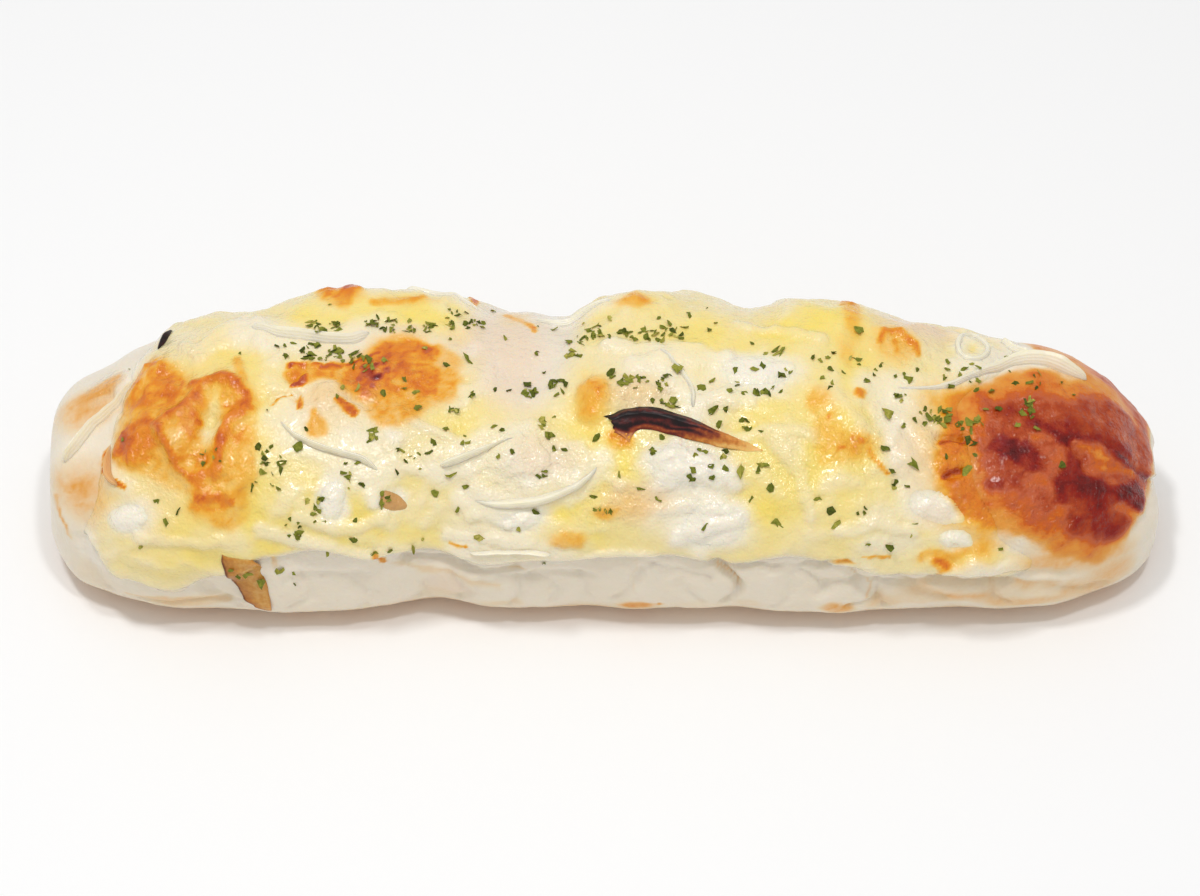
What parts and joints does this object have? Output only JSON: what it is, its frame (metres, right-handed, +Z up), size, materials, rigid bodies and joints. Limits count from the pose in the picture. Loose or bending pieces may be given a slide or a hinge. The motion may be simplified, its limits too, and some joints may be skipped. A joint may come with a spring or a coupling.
{
  "type": "cheese bread stick",
  "caption": "Long soft bread stick with a flat base, its top under melted cheese with sliced onion and dried herbs baked on, one end browned dark.",
  "frame": {"origin": "on the resting plane, under the middle of the whole stick", "axes": "+X along the stick to the dark browned end, +Y to the back, +Z up"},
  "size_m": [0.1864, 0.0572, 0.038],
  "materials": {
    "crumb_crust": "soft pale baked dough, browned to dark red brown at the right end, satin",
    "melted_cheese": "melted pale yellow cheese with golden blisters, soft oily gloss",
    "baked_onion": "translucent off-white baked onion, moist",
    "charred_onion": "burnt onion, near black to red brown, moist",
    "white_bits": "soft creamy white bits of onion and cheese",
    "dried_herb": "dry crumbled green leaf flakes, matt"
  },
  "bodies": {
    "root": {"bread": "crumb_crust", "cheese_layer": "melted_cheese", "chunk_centre": "white_bits", "chunk_far_left": "white_bits", "chunk_left": "white_bits", "chunk_lower": "white_bits", "chunk_middle": "white_bits", "chunk_right": "white_bits", "chunk_right_low": "white_bits", "chunk_tan": "white_bits", "chunk_upper": "white_bits", "onion_back_left": "baked_onion", "onion_back_middle": "baked_onion", "onion_back_ridge": "baked_onion", "onion_charred": "charred_onion", "onion_charred_tip": "charred_onion", "onion_crescent": "baked_onion", "onion_flap": "baked_onion", "onion_front": "baked_onion", "onion_left_diagonal": "baked_onion", "onion_left_edge": "baked_onion", "onion_long_right": "baked_onion", "onion_lower_left": "baked_onion", "onion_middle": "baked_onion", "onion_right_branch": "baked_onion", "onion_ring": "baked_onion", "onion_upper_middle": "baked_onion"}
  },
  "joints": []
}
